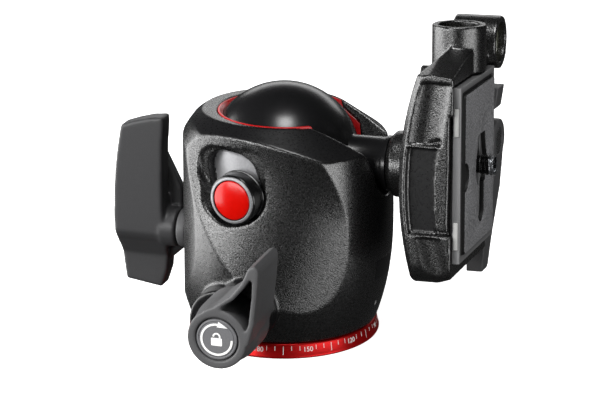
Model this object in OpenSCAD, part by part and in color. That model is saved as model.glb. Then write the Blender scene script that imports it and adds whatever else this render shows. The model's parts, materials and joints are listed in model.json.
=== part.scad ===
// Tripod ball head with a quick-release adaptor and camera plate.
// Millimetres. Z is up, the origin is the centre of the tripod thread on the base's under side.
// The stem points along +X, in the side slot; the friction knob and pan lever face -Y.

/* [Base] */
// radius of the graduated ring at its foot
base_r = 30; // [27:0.5:36]
// height of the graduated ring
ring_h = 4.7; // [4:0.1:6]
// how far the ring's flank leans in over its height
ring_lean = 0.95; // [0.4:0.05:1.5]
// radius where the ring sits on the base plate
ring_seat_r = 24; // [22:0.5:25]
// radius of the spigot the housing turns on
spigot_r = 11; // [9.5:0.5:12]
// top of the spigot above the foot
spigot_top = 23.5; // [22:0.5:24]
// radius of the tripod thread's bore (3/8 inch, tapped)
thread_r = 4; // [3:0.05:4.5]
// depth of the tripod thread
thread_depth = 12; // [8:0.5:14]
// outer radius of the threaded insert
insert_r = 6.5; // [5.5:0.1:8]
// radius of the retaining disc on the spigot
keeper_r = 14.5; // [13:0.5:15]
// thickness of the retaining disc
keeper_t = 1.8; // [1.5:0.1:2.5]

/* [Housing] */
// largest radius of the barrel
barrel_r = 34.1; // [32:0.1:40]
// height of the barrel's widest place
barrel_mid = 36; // [30:0.5:42]
// how much narrower the barrel is at its foot
foot_in = 4.9; // [3:0.1:6]
// how much narrower the barrel is at its shoulder
shoulder_in = 2.1; // [1:0.1:4]
// height of the barrel's shoulder
shoulder_z = 63; // [60:0.5:68]
// height of the flat top
top_z = 71; // [68:0.1:78]
// radius of the bore round the ball
ball_bore_r = 24.2; // [23:0.1:28]
// radius of the ball opening in the flat top
opening_r = 20.7; // [19:0.1:23]
// radius where the top bevel starts
bevel_r = 22.6; // [21:0.1:26]
// fall of the top bevel for each millimetre outwards
bevel_slope = 0.7; // [0.4:0.05:1.2]
// how far the bevel's centre lies towards the lock knob
bevel_shift = 2.8; // [0:0.1:4]
// radius of the broad flat that carries the lock knob
flat_r = 44; // [38:1:60]
// distance from the axis to that flat
flat_reach = 31.2; // [29:0.1:34]
// how far that flat is turned towards the front
flat_turn = 10; // [0:1:15]
// half width of the side slot at the stem
slot_half = 8.8; // [8.3:0.1:11]
// half width of the side slot at the flat top
slot_top_half = 16; // [12:0.5:20]
// running gap between the housing and the base
pan_gap = 0.3; // [0.2:0.05:0.5]

/* [Front scoop] */
// radius of the long cylinder that shapes the front face
scoop_r = 58.9; // [45:0.5:90]
// distance from the axis to the front face
scoop_reach = 29.1; // [27:0.1:32]
// direction the front face looks to, from straight ahead
scoop_turn = 10; // [0:0.2:15]
// how far the front face looks up
scoop_up = 9.2; // [4:0.2:14]
// how far the front face's long axis leans to the side
scoop_lean = 19.3; // [0:0.5:30]
// how much the front face swells towards its top
scoop_flare = 3.5; // [0:0.5:5]

/* [Ball and stem] */
// ball radius
ball_r = 23.6; // [22:0.1:27]
// height of the ball's centre
ball_z = 55.6; // [52:0.1:60]
// stem radius
stem_r = 8.1; // [7:0.1:9]
// distance from the ball's centre to the end of the stem
stem_end = 34.6; // [33:0.1:40]
// rise of the stem above level, as it lies in the slot
rest_rise = 2; // [0:0.5:4]
// turn of the adaptor about the stem, as it lies
rest_roll = -5; // [-10:0.5:10]
// gap between the ball and the pieces round it
ball_gap = 0.08; // [0.05:0.01:0.2]

/* [Lock knob] */
// height of the lock knob's axis
knob_z = 28.8; // [27:0.1:30]
// distance from the axis to the knob's inner side
knob_in = 37.6; // [36:0.1:44]
// thickness of the knob along its axis
knob_t = 17; // [12:0.5:22]
// reach of the long wing above the knob's axis
wing_up = 37; // [28:0.5:42]
// reach of the short wing below the knob's axis
wing_down = 20; // [14:0.5:26]
// how far the knob's web reaches in beside its boss
web_in = 3; // [1:0.1:5]
// thickness of the wings
wing_t = 6.6; // [5:0.2:9]
// how far each wing lies off the knob's axis
wing_off = 2.7; // [0:0.1:4]
// radius of the knob's hub
hub_r = 6; // [5.5:0.1:7]
// radius of the boss that the knob's screw runs in
bush_r = 6.2; // [5:0.1:8]
// radius of the knob's screw
lock_screw_r = 3.5; // [3:0.1:4]

/* [Friction knob] */
// direction of the friction knob, from straight ahead
fric_turn = -11; // [-20:0.5:0]
// height of the friction knob's axis
fric_z = 50.5; // [48:0.1:54]
// distance from the axis to the face of the friction knob
fric_reach = 32.6; // [31:0.1:36]
// radius of the friction knob
fric_r = 7.8; // [6.5:0.1:9]
// length of the friction knob's barrel
fric_len = 6; // [5:0.1:6.4]
// radius of the red cap in the friction knob
cap_r = 6.4; // [5:0.1:7]

/* [Pan lever] */
// height of the pan lever's axis
lever_z = 16.7; // [15:0.1:18]
// place of the pan lever's axis to the side
lever_x = -1.4; // [-3:0.1:3]
// distance from the axis to the lever's face
lever_reach = 59.4; // [54:0.2:66]
// length of the lever's hub
lever_len = 19; // [14:0.5:20]
// radius of the lever's hub
lever_r = 9.2; // [8:0.1:10]
// how much wider the lever's hub is behind its face
hub_swell = 1; // [0:0.1:1.6]
// reach of the lever's tip from its axis
lever_tip = 24; // [18:0.5:30]
// radius of the lever's disc
disc_r = 6.3; // [5:0.1:7]

/* [Adaptor and plate] */
// radius of the adaptor's boss behind the plate
boss_r = 10.2; // [9:0.1:13]
// distance from the ball's centre to the adaptor's back
back_x = 42.6; // [41:0.1:48]
// distance from the ball's centre to the top of the jaws
jaw_x = 58.4; // [56:0.1:66]
// distance from the ball's centre to the camera plate's face
face_x = 61.3; // [60:0.1:70]
// width of the camera plate
plate_w = 42.1; // [38:0.1:46]
// length of the camera plate
plate_l = 53; // [48:0.5:58]
// place of the plate along the adaptor
plate_mid = 1.6; // [0:0.1:3]
// radius of the bull's-eye level's housing
level_r = 8.2; // [7:0.1:9]
// top of the bull's-eye level's housing, from the stem's axis
level_top = 43; // [40:0.5:46]
// radius of the tube level's housing
tube_r = 8.2; // [6.5:0.1:9]
// distance to the side from the stem's axis to the tube level
tube_y = 27; // [24:0.5:30]
// reach of the quick-release lever below its pivot
qr_len = 42; // [34:0.5:50]
// fall of the adaptor's roof towards the plate
roof_fall = 8; // [0:0.5:12]

/* [Hidden] */
$fn = 96;
fit = 0.05;          // running fit between round pieces
seat = 0.3;          // gap between pieces that only face each other
ring_top_r = base_r - ring_lean;
housing_z0 = ring_h + pan_gap;

mag = [0.10, 0.10, 0.11];
satin = [0.05, 0.05, 0.055];
steel = [0.62, 0.63, 0.65];
red = [0.78, 0.05, 0.04];
grey = [0.20, 0.20, 0.21];
pale = [0.45, 0.45, 0.46];

// ---------- directions and places ----------

// puts its child at the ball's centre, turned as the stem and adaptor lie at rest
module on_ball() translate([0, 0, ball_z]) rotate([rest_roll, -rest_rise, 0]) children();
// turns a child that is drawn along +Z so that it points along +X, -X or -Y
module along_x() rotate([0, 90, 0]) children();
module along_back() rotate([0, -90, 0]) children();
module along_front() rotate([90, 0, 0]) children();
// puts a child drawn along +Z on the axis of the lock knob, the friction knob or the pan lever
module on_lock() translate([0, 0, knob_z]) along_back() children();
module on_friction() translate([0, 0, fric_z]) rotate([0, 0, fric_turn]) along_front() children();
module on_lever() translate([lever_x, 0, lever_z]) along_front() children();

// a ring or tube from z0 to z1
module tube(r1, r2, z0, z1) rotate_extrude() translate([r1, z0]) square([r2 - r1, z1 - z0]);
// a rod from z0 to z1 with chamfered ends
module rod(r, z0, z1, c = 0.4) rotate_extrude()
    polygon([[0, z0], [r - c, z0], [r, z0 + c], [r, z1 - c], [r - c, z1], [0, z1]]);
// a block of size s whose corner is at p
module block(p, s) translate(p) cube(s);
// a flat outline with round corners, from four discs and two bars
module round_rect(w, l, r) {
    for (x = [-1, 1], y = [-1, 1]) translate([x * (w / 2 - r), y * (l / 2 - r)]) circle(r);
    square([w - 2 * r, l], center = true);
    square([w, l - 2 * r], center = true);
}

// ---------- base ----------

module base_plate() color(grey) difference() {
    rotate_extrude() polygon([[insert_r, 0], [ring_seat_r, 0], [ring_seat_r, ring_h - 1],
        [ring_seat_r - 4, ring_h - 1], [ring_seat_r - 4, ring_h - 0.5], [spigot_r + 3, ring_h - 0.5],
        [spigot_r + 3, housing_z0 + 1.2], [spigot_r, housing_z0 + 1.2],
        [spigot_r, lever_z - 2.6], [spigot_r - 1, lever_z - 1.6], [spigot_r - 1, lever_z + 1.6],
        [spigot_r, lever_z + 2.6], [spigot_r, spigot_top], [insert_r, spigot_top]]);
    for (a = [90, 210, 330]) rotate(a) translate([(spigot_r + insert_r) / 2, 0, spigot_top - 6])
        cylinder(r = 1.25, h = 7);
}

module thread_insert() color(steel) rotate_extrude() polygon([[thread_r, 0], [insert_r, 0],
    [insert_r, thread_depth + 3], [0, thread_depth + 3], [0, thread_depth], [thread_r, thread_depth]]);

module scale_ring() color(red) rotate_extrude() polygon([[ring_seat_r, 0], [base_r - 0.5, 0],
    [base_r, 0.5], [base_r - 0.1, 1.1], [ring_top_r, ring_h - 0.4], [ring_top_r - 0.4, ring_h],
    [ring_seat_r - 4, ring_h], [ring_seat_r - 4, ring_h - 1], [ring_seat_r, ring_h - 1]]);

module pan_washer() color([0.85, 0.85, 0.8]) tube(spigot_r + 3.5, ring_seat_r - 5,
    ring_h - 0.5, housing_z0 - fit);

module keeper_disc() color(steel) difference() {
    tube(insert_r - 2, keeper_r, spigot_top, spigot_top + keeper_t);
    for (a = [90, 210, 330]) rotate(a) translate([(spigot_r + insert_r) / 2, 0, spigot_top - 1])
        cylinder(r = 1.5, h = keeper_t + 2);
}

module keeper_screws() color(steel) for (a = [90, 210, 330]) rotate(a)
    translate([(spigot_r + insert_r) / 2, 0, spigot_top]) {
        translate([0, 0, -5.5]) cylinder(r = 1.2, h = 5.5 + keeper_t);
        translate([0, 0, keeper_t]) difference() {
            cylinder(r = 2.2, h = 1.3);
            translate([0, 0, 0.5]) cylinder(r = 1.1, h = 1, $fn = 6);
        }
    }

// ---------- housing ----------

// radius of the barrel at height z
function barrel(z) = z < barrel_mid
    ? barrel_r - foot_in * pow((barrel_mid - z) / (barrel_mid - housing_z0), 2.3)
    : barrel_r - shoulder_in * pow((z - barrel_mid) / (shoulder_z - barrel_mid), 2.2);
barrel_steps = 12;

module barrel_body() intersection() {
    rotate_extrude($fn = 180) polygon(concat([[0, housing_z0]],
        [for (i = [0 : barrel_steps]) let (z = housing_z0 + (barrel_mid - housing_z0) * i / barrel_steps)
            [barrel(z), z]],
        [for (i = [1 : barrel_steps]) let (z = barrel_mid + (shoulder_z - barrel_mid) * i / barrel_steps)
            [barrel(z), z]],
        [[barrel(shoulder_z) - 2.2, shoulder_z + 3.6], [barrel(shoulder_z) - 5.4, top_z],
         [0, top_z]]));
    rotate(flat_turn) translate([flat_r - flat_reach, 0, 0]) cylinder(r = flat_r, h = top_z, $fn = 180);
    translate([-bevel_shift, 0.5, 0]) rotate_extrude($fn = 180)
        polygon([[0, 0], [bevel_r + top_z / bevel_slope, 0], [bevel_r, top_z], [0, top_z]]);
}

// everything in front of the scooped front face
module front_scoop() difference() {
    translate([-60, -90, 0]) cube([120, 90, 100]);
    rotate([0, 0, scoop_turn]) translate([0, -scoop_reach, 45]) rotate([-scoop_up, 0, 0])
        rotate([0, scoop_lean, 0]) translate([0, scoop_r, 0]) rotate_extrude($fn = 180)
            polygon(concat([[0, -90], [scoop_r, -90]], [for (i = [0 : 8])
                [scoop_r + scoop_flare * i * i / 64, 4 + 2.6 * i]], [[scoop_r + scoop_flare, 60], [0, 60]]));
}

// the pocket that the friction knob stands in, drawn along the knob's axis
pocket_floor = ball_bore_r + 1.7;
module friction_pocket() on_friction() translate([0, 0, pocket_floor]) linear_extrude(20) {
    circle(fric_r + 0.5);
    translate([-9.4, 8.8]) circle(5.3);
    translate([2.4, 9.1]) circle(5.3);
    polygon([[-14.7, 8.8], [-14.2, 5.2], [-12, 1.4], [-7.6, -2.4], [0, -1], [8, 2.4], [7.7, 9.1],
        [2.4, 14.4], [-9.4, 14.1]]);
}

// the side slot for the stem, drawn across the stem
module side_slot(half, top_half) translate([0, 0, ball_z]) along_x() rotate(90) linear_extrude(60) {
    circle(half);
    polygon([[-half, 0], [half, 0], [top_half, top_z - ball_z], [top_half, top_z],
        [-top_half, top_z], [-top_half, top_z - ball_z]]);
}

lever_boss_r = lever_r + 0.2;
foot_r = 10.2;         // bulge of the housing beside the lever's boss
lever_boss_end = lever_reach - lever_len - seat;
brake_bore_r = 4.2;
lock_bore_r = 5;
cavity_z0 = spigot_top + keeper_t + 1.8;

module housing() color(mag) difference() {
    union() {
        difference() { barrel_body(); front_scoop(); }
        on_lever() translate([0, 0, spigot_r + 6]) cylinder(r = lever_boss_r, h = lever_boss_end - spigot_r - 6);
        intersection() {
            on_lever() translate([-6.5, -3.5, 18]) cylinder(r = foot_r, h = lever_boss_end - 20.5);
            translate([-60, -60, housing_z0]) cube(120);
        }
    }
    // bore round the spigot, cavity under the ball and bore round the ball
    translate([0, 0, -1]) cylinder(r = spigot_r + fit, h = spigot_top + 2);
    translate([0, 0, -1]) cylinder(r = spigot_r + 3 + seat, h = housing_z0 + 2.7);
    translate([0, 0, spigot_top - 0.4]) cylinder(r = keeper_r + 0.5, h = 6);
    rotate_extrude() polygon([[0, cavity_z0], [ball_bore_r, cavity_z0], [ball_bore_r, ball_z + 9],
        [opening_r, ball_z + 13], [opening_r, top_z + 1], [0, top_z + 1]]);
    side_slot(slot_half, slot_top_half);
    friction_pocket();
    on_friction() cylinder(r = 3.1, h = 60);
    on_lock() cylinder(r = lock_bore_r + fit, h = 60);
    on_lever() cylinder(r = brake_bore_r, h = 60);
}

module ball_collar() color(red) difference() {
    rotate_extrude() polygon([[ball_r - 2.5, ball_z + 4], [ball_bore_r - fit, ball_z + 4],
        [ball_bore_r - fit, ball_z + 8.9], [opening_r - 0.15, ball_z + 12.9],
        [opening_r - 0.15, top_z - 0.1], [opening_r - 0.7, top_z], [opening_r - 3.4, top_z - 2.6],
        [ball_r - 5, ball_z + 9]]);
    translate([0, 0, ball_z]) sphere(r = ball_r + ball_gap, $fn = 120);
    side_slot(slot_half + 0.6, slot_top_half - 0.5);
}

// ---------- below the ball ----------

seat_z0 = ball_z - 19.5;
seat_z1 = ball_z - 10;
cup_z0 = cavity_z0 + 1.4;

module ball_seat() color([0.8, 0.8, 0.78]) difference() {
    rotate_extrude() polygon([[10, seat_z0], [ball_bore_r - fit, seat_z0], [ball_bore_r - fit, seat_z1],
        [19, seat_z1 + 0.8], [10, seat_z0 + 3]]);
    translate([0, 0, ball_z]) sphere(r = ball_r + ball_gap, $fn = 120);
    on_friction() cylinder(r = 2.6, h = 40);
}

module pressure_cup() color(steel) difference() {
    rotate_extrude() polygon([[5, cup_z0 + 1.6], [ball_bore_r - 0.5, cup_z0 + 1.6],
        [ball_bore_r - 0.5, seat_z0], [ball_bore_r - 4, seat_z0],
        [ball_bore_r - 7, cup_z0 + 3.4], [5, cup_z0 + 3.4]]);
    on_lock() translate([0, 0, pusher_in - 0.3]) cylinder(r = lock_bore_r + 0.4, h = 20);
}

module disc_springs() color(steel) tube(9, pusher_in - 1, cavity_z0, cup_z0 + 1.6);

// ---------- ball lock ----------

pusher_in = 17.2;
module lock_pusher() color(steel) on_lock() rotate_extrude() polygon([[0, pusher_in],
    [2.2, pusher_in], [lock_bore_r - 0.4, pusher_in + 3.2], [lock_bore_r - 0.4, pusher_in + 7.5],
    [0, pusher_in + 7.5]]);

module lock_bush() color(steel) on_lock() rotate_extrude() polygon([
    [lock_screw_r + fit, ball_bore_r + 1.6], [lock_bore_r, ball_bore_r + 1.6],
    [lock_bore_r, flat_reach + 0.2], [bush_r, flat_reach + 0.2], [bush_r, knob_in - web_in - 0.8],
    [bush_r - 0.5, knob_in - web_in - seat], [lock_screw_r + fit, knob_in - web_in - seat]]);

module lock_screw() color(steel) on_lock() rod(lock_screw_r, pusher_in + 7.5 + 1.2, knob_in + 9);

// outline of the wings seen along the knob's axis: one wing in front of it, one behind
module wing_outline() {
    circle(hub_r);
    translate([wing_off - wing_t / 2, 0]) square([wing_t, wing_up + 4]);
    translate([-wing_off - wing_t / 2, -wing_down - 2]) square([wing_t, wing_down + 2]);
    polygon([[wing_off + wing_t / 2, -1.5], [wing_off + wing_t / 2, 9], [wing_off - wing_t / 2, 11],
        [-wing_off - wing_t / 2, 1.5], [-wing_off - wing_t / 2, -9], [-wing_off + wing_t / 2, -10]]);
}

// outline of the knob seen from the front, from its inner side at x = 0 outwards
module knob_side() intersection() {
    polygon([[0.8, -6], [1, 14], [0.8, wing_up - 10], [0.2, wing_up - 2], [0.3, wing_up + 0.3],
        [5, wing_up - 0.2], [10, wing_up - 1.6], [knob_t - 1.5, wing_up - 3.6], [knob_t + 1, 20],
        [knob_t + 1, -wing_down + 1], [3.6, -wing_down - 1], [1.6, -wing_down + 5]]);
    translate([knob_t + 0.5 - 150, 4]) circle(150, $fn = 180);
}

// web behind the hub, which reaches in towards the housing
module knob_web() translate([-knob_in, hub_r - 0.7, knob_z]) rotate([90, 0, 0]) mirror([1, 0, 0])
    linear_extrude(hub_r - 2.2) difference() {
        polygon([[-web_in, -8], [-web_in, 12], [6, 30], [6, -16]]);
        translate([-web_in - 26, 38]) circle(28.5, $fn = 180);
    }

module lock_knob() color(grey) difference() {
    union() {
        intersection() {
            on_lock() translate([0, 0, knob_in - 2]) rotate(-90) linear_extrude(knob_t + 4) wing_outline();
            translate([-knob_in, 30, knob_z]) rotate([90, 0, 0]) mirror([1, 0, 0])
                linear_extrude(60) knob_side();
        }
        knob_web();
        on_lock() translate([0, 0, knob_in - web_in]) cylinder(r = hub_r + 0.4, h = web_in + 2.3);
    }
    on_lock() translate([0, 0, knob_in - web_in - 1]) cylinder(r = lock_screw_r, h = web_in + 10);
    on_lock() translate([0, 0, knob_in + knob_t - 3]) cylinder(r = 4.5, h = 8);
}

module knob_plug() color(satin) on_lock() translate([0, 0, knob_in + knob_t - 3]) rod(4.5, 0, 1.8, 0.3);

// ---------- friction control ----------

fric_in = fric_reach - fric_len;
module friction_knob() color(grey) difference() {
    union() {
        on_friction() rotate_extrude() polygon([[0, fric_in], [fric_r - 1, fric_in], [fric_r, fric_in + 1],
            [fric_r, fric_reach - 0.6], [fric_r - 0.6, fric_reach], [cap_r + 0.4, fric_reach],
            [cap_r + 0.4, fric_reach - 1.6], [0, fric_reach - 1.6]]);
        on_friction() rod(3, ball_r + 1.6, fric_in + 0.5);
    }
    for (a = [0 : 15 : 345]) on_friction() rotate(a) translate([fric_r + 0.45, 0, fric_in + 0.8])
        cylinder(r = 0.8, h = fric_len - 2.2, $fn = 16);
}

module friction_cap() color(red) on_friction() rotate_extrude() polygon([[0, fric_reach - 1.6],
    [cap_r, fric_reach - 1.6], [cap_r, fric_reach - 0.1], [cap_r - 1, fric_reach + 0.25],
    [cap_r - 3, fric_reach + 0.55], [0, fric_reach + 0.7]]);

module friction_pin() color(steel) intersection() {
    on_friction() rod(2.4, ball_r - 3, ball_r + 1);
    difference() {
        on_friction() cylinder(r = 3, h = 40);
        translate([0, 0, ball_z]) sphere(r = ball_r + 0.15, $fn = 120);
    }
}

// ---------- pan lock ----------

lever_back = lever_reach - lever_len;
window_r = lever_r + 0.1;

// outline of the lever from the front, round its axis
module lever_outline() {
    circle(lever_r);
    polygon([[-5, 5], [-4, 8.6], [-1.2, 9.9], [4.3, 14], [7.7, 18.3], [9.9, lever_tip - 0.8],
        [11.6, lever_tip], [12.6, lever_tip - 0.8], [12.9, lever_tip - 2.4], [12.6, 16.6],
        [11.4, 5.4], [9.7, -0.8], [4, -4]]);
}

module lever_window() difference() {
    polygon([[1.4, 10.2], [5.2, 12.9], [8.4, 16.8], [10.3, lever_tip - 4.4], [11, lever_tip - 5],
        [10.8, 14], [9.8, 5.6], [8.8, 3], [1, 6]]);
    circle(window_r);
}

module pan_lever() color(grey) difference() {
    union() {
        on_lever() translate([0, 0, lever_back]) linear_extrude(lever_len) lever_outline();
        on_lever() translate([0, 0, lever_back]) rotate_extrude() polygon([[0, 0], [lever_r + hub_swell, 0],
            [lever_r + hub_swell, lever_len * 0.5], [lever_r - 0.2, lever_len - 1.5], [0, lever_len - 1.5]]);
    }
    on_lever() translate([0, 0, lever_back + 3]) linear_extrude(lever_len) lever_window();
    on_lever() translate([0, 0, lever_reach - 1.2]) cylinder(r = disc_r + 0.5, h = 2);
    on_lever() translate([0, 0, lever_reach - 4]) cylinder(r = 5.2, h = 6);
    on_lever() translate([0, 0, lever_back - 1]) cylinder(r = 3.2, h = lever_len);
}

module lever_disc() color(pale) on_lever() {
    rod(disc_r, lever_reach - 1.2, lever_reach - 0.1, 0.25);
    rod(4.8, lever_reach - 1.9, lever_reach - 1.2, 0.2);
}

module lever_screw() color(steel) on_lever() {
    rod(3.2 - fit, spigot_r + 7, lever_reach - 4);
    rod(5, lever_reach - 4, lever_reach - 2.1, 0.3);
}

module pan_brake() color([0.7, 0.55, 0.3]) difference() {
    on_lever() rod(brake_bore_r - fit, 6, spigot_r + 6.6);
    cylinder(r = spigot_r + 0.1, h = 60);
}

// ---------- ball and adaptor (drawn round the ball's centre, stem along +X) ----------

pin_r = 5;
pin_end = back_x - 1;

module ball() color(satin) on_ball() difference() {
    union() {
        sphere(r = ball_r, $fn = 120);
        along_x() cylinder(r = stem_r, h = stem_end - 1.5);
        along_x() rotate_extrude() polygon([[0, stem_end - 1.6], [stem_r, stem_end - 1.6],
            [stem_r + 0.4, stem_end - 1], [stem_r + 0.4, stem_end], [pin_r, stem_end],
            [pin_r, pin_end], [0, pin_end]]);
    }
    along_x() translate([0, 0, pin_end - 14]) cylinder(r = 2.5, h = 20);
}

adaptor_w = 44;
adaptor_top = 30.5;
adaptor_foot = -32;
near_side = -23;
floor_x = jaw_x - 6;

// everything in front of the adaptor's arched back, whose near edge is bevelled
arch_r = 105;
arch_edge = 1.8;
module arch(r) translate([back_x + arch_r, 0, -2]) rotate([90, 0, 0]) rotate_extrude($fn = 180)
    polygon([[0, -34], [r, -34], [r, -near_side - arch_edge], [r - arch_edge, -near_side], [0, -near_side]]);

// front view of the adaptor's back plate
module adaptor_front() {
    translate([1, -0.75]) round_rect(adaptor_w + 4, adaptor_top - adaptor_foot, 7);
    translate([tube_y - 8, 8]) round_rect(16, 42, 5);
}

module adaptor_shell() intersection() {
    rotate([90, 0, 0]) translate([0, 0, -34]) linear_extrude(60) polygon([[back_x - 1, adaptor_foot],
        [jaw_x - 5, adaptor_foot], [jaw_x + 0.6, adaptor_foot + 2.4], [jaw_x + 0.6, adaptor_foot + 15.4],
        [jaw_x - 0.4, adaptor_foot + 16], [jaw_x, 9], [jaw_x, adaptor_top - 2], [jaw_x - 2, adaptor_top],
        [back_x - 1, adaptor_top]]);
    along_x() rotate(90) translate([0, 0, 30]) linear_extrude(40) adaptor_front();
}

level_x = jaw_x - 4.6;
level_y = 6;
tube_z = 34.5;
tube_x0 = back_x + 5;
tube_x1 = face_x + 0.5;
roof_top = 36.4;
plate_top = plate_mid + plate_l / 2;
plate_foot = plate_mid - plate_l / 2;

// roof over the plate's top end, hipped along a crease, which carries the two level housings
crease_x = back_x + 10.6;
module gable(fall) translate([crease_x, 0, 0]) rotate([0, fall, 0]) rotate([90, 0, 90])
    translate([0, 0, -20]) linear_extrude(40) polygon([[near_side, 18], [near_side, 31.6],
        [-2.2, roof_top], [4, roof_top], [20.8, 31.4], [24.6, 29], [24.6, 18]]);
module roof() intersection() {
    rotate([90, 0, 0]) translate([0, 0, -30]) linear_extrude(60) polygon([[back_x, 20], [jaw_x + 1.1, 20],
        [jaw_x + 1.1, roof_top + 2], [back_x + 10.2, roof_top], [back_x + 1.6, 27.4], [back_x, 27.4]]);
    gable(roof_fall);
    gable(-12);
}

module level_housings() {
    translate([level_x, level_y, adaptor_top - 8]) cylinder(r = level_r, h = level_top - adaptor_top + 8);
    translate([0, tube_y, tube_z]) along_x() translate([0, 0, tube_x0]) cylinder(r = tube_r, h = tube_x1 - tube_x0);
    // web between the roof and the tube's housing
    rotate([90, 0, 0]) translate([0, 0, -tube_y]) linear_extrude(tube_y - level_y)
        polygon([[back_x + 5.4, 24], [level_x + 3, 24], [level_x + 3, level_top - 11],
            [level_x - level_r + 3, level_top - 9], [back_x + 5.8, adaptor_top + 1]]);
}

// hollow in the near side, part of a round bar that leans from (x0, z0) to (x1, z1)
module hollow(half, x0, z0, x1, z1) intersection() {
    translate([x0, near_side - sqrt(81 - half * half), z0]) rotate([0, atan((x1 - x0) / (z1 - z0)), 0])
        translate([0, 0, -25]) cylinder(r = 9, h = 60);
    translate([back_x, near_side - 4, min(z0, z1)]) cube([20, 8, abs(z1 - z0)]);
}
// cut of the given depth in the near side
module near_cut(depth, outline) rotate([90, 0, 0]) translate([0, 0, -near_side - depth])
    linear_extrude(depth + 1) polygon(outline);

// upper hollow with a notch at its foot, deep middle panel beside the raised strip, lower hollow
module near_panels() intersection() {
    union() {
        hollow(5.2, 51.1, 11, 53.9, 29.6);
        near_cut(2, [[49.6, 10.9], [55.9, 13.3], [55.9, 10.9]]);
        near_cut(2.4, [[back_x, 10.1], [55, 10.1], [54.2, 5], [53.9, -2], [54.1, -9], [54.6, -14.2],
            [55.4, -14.9], [59.6, -14.9], [59.6, -16.2], [back_x, -16.2]]);
        hollow(4.1, 52.2, -17, 55.3, -30);
    }
    rotate([90, 0, 0]) translate([0, 0, 10]) linear_extrude(30)
        translate([back_x + arch_r, -2]) circle(arch_r - arch_edge - 0.7, $fn = 180);
}

// the camera plate's cross-section with a gap g all round: flange, waist and foot
function plate_section(g) = [[-plate_w / 2 + 2.6 - g, floor_x + 0.6 - g], [plate_w / 2 - 2.6 + g, floor_x + 0.6 - g],
    [plate_w / 2 - 0.8 + g, floor_x + 1.6], [plate_w / 2 - 0.8 + g, floor_x + 2.6],
    [plate_w / 2 - 2.4 + g, floor_x + 4.6], [plate_w / 2 - 2.4 + g, jaw_x + 0.3 - g],
    [plate_w / 2 + g, jaw_x + 0.7 - g], [plate_w / 2 + g, face_x - 0.6], [plate_w / 2 - 0.5, face_x],
    [-plate_w / 2 + 0.5, face_x], [-plate_w / 2 - g, face_x - 0.6], [-plate_w / 2 - g, jaw_x + 0.7 - g],
    [-plate_w / 2 + 2.4 - g, jaw_x + 0.3 - g], [-plate_w / 2 + 2.4 - g, floor_x + 4.6],
    [-plate_w / 2 + 0.8 - g, floor_x + 2.6], [-plate_w / 2 + 0.8 - g, floor_x + 1.6]];

// sweeps a cross-section (side, stem) along the plate from z0 to z1
module along_plate(z0, z1) translate([0, 0, z0]) linear_extrude(z1 - z0) mirror([1, -1]) children();

qr_y = 28.7;
qr_z = 3;
qr_boss_r = 7;
qr_bot = floor_x - 0.4;
qr_top = jaw_x + 3;
plate_side = plate_w / 2 + 0.2;

module adaptor() color(mag) on_ball() difference() {
    union() {
        intersection() {
            arch(arch_r);
            union() { adaptor_shell(); roof(); }
        }
        level_housings();
        along_x() rotate_extrude() polygon([[0, stem_end + fit + 0.2], [boss_r - 1.4, stem_end + fit + 0.2],
            [boss_r, stem_end + 1.8], [boss_r, back_x + 3], [0, back_x + 3]]);
        // stop boss on the back, high on the far side
        translate([0, 20.5, 24.8]) along_x() translate([0, 0, back_x - 4.4]) cylinder(r = 2.4, h = 9);
    }
    // seat of the camera plate
    translate([0, 0.2, 0]) along_plate(plate_foot - seat, plate_top + 0.7) polygon(plate_section(seat));
    translate([0, 0.2, 0]) block([floor_x + 0.3, -plate_w / 2 + 2.2, plate_foot - seat],
        [30, plate_w - 4.4, plate_l + seat + 0.7]);
    // room for the quick-release lever on the far side
    translate([floor_x - 1, plate_side + 0.2, adaptor_foot - 2]) cube([30, 30, 22.6 - adaptor_foot + 2]);
    near_panels();
    // bores for the stem's pin, its screw and the two levels
    along_x() translate([0, 0, stem_end - 1]) cylinder(r = pin_r + fit, h = pin_end + fit - stem_end + 1);
    along_x() translate([0, 0, stem_end]) cylinder(r = 2.6, h = 40);
    along_x() translate([0, 0, floor_x - 4]) cylinder(r = 5.3, h = 20);
    translate([level_x, level_y, level_top - 9]) cylinder(r = level_r - 1.9, h = 12);
    translate([0, tube_y, tube_z]) along_x() translate([0, 0, tube_x0 + 1.6]) cylinder(r = tube_r - 2, h = 30);
    // bores for the lever's pivot
    translate([0, qr_y, qr_z]) along_x() translate([0, 0, back_x + 5]) cylinder(r = 2, h = 30);
}

module adaptor_screw() color(steel) on_ball() along_x() difference() {
    union() {
        translate([0, 0, pin_end - 12]) cylinder(r = 2.45, h = floor_x - 4 - pin_end + 12);
        translate([0, 0, floor_x - 4]) cylinder(r = 5, h = 3.2);
    }
    translate([0, 0, floor_x - 2.8]) cylinder(r = 2.3, h = 4, $fn = 6);
}

module round_level() color([0.6, 0.75, 0.3]) on_ball() translate([level_x, level_y, level_top - 9])
    rotate_extrude() polygon([[0, 0], [level_r - 1.95, 0], [level_r - 1.95, 4], [level_r - 2.6, 4.7],
        [0, 5]]);

module tube_level() color([0.6, 0.75, 0.3]) on_ball() translate([0, tube_y, tube_z]) along_x()
    rod(tube_r - 2.05, tube_x0 + 1.6, tube_x1 - 1.6, 0.8);

// ---------- quick-release lever ----------

// the lever seen from the front of the plate, round its pivot: x to the side, y up
module qr_blank() {
    cylinder(r = qr_boss_r, h = 12);
    linear_extrude(12) polygon([[-3.4, 0], [6, 0], [5.2, -18], [4.4, -qr_len + 8], [4.4, -qr_len + 1],
        [3.4, -qr_len], [-3.4, -qr_len], [-4.2, -qr_len + 8], [-5.4, -20]]);
}

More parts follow.
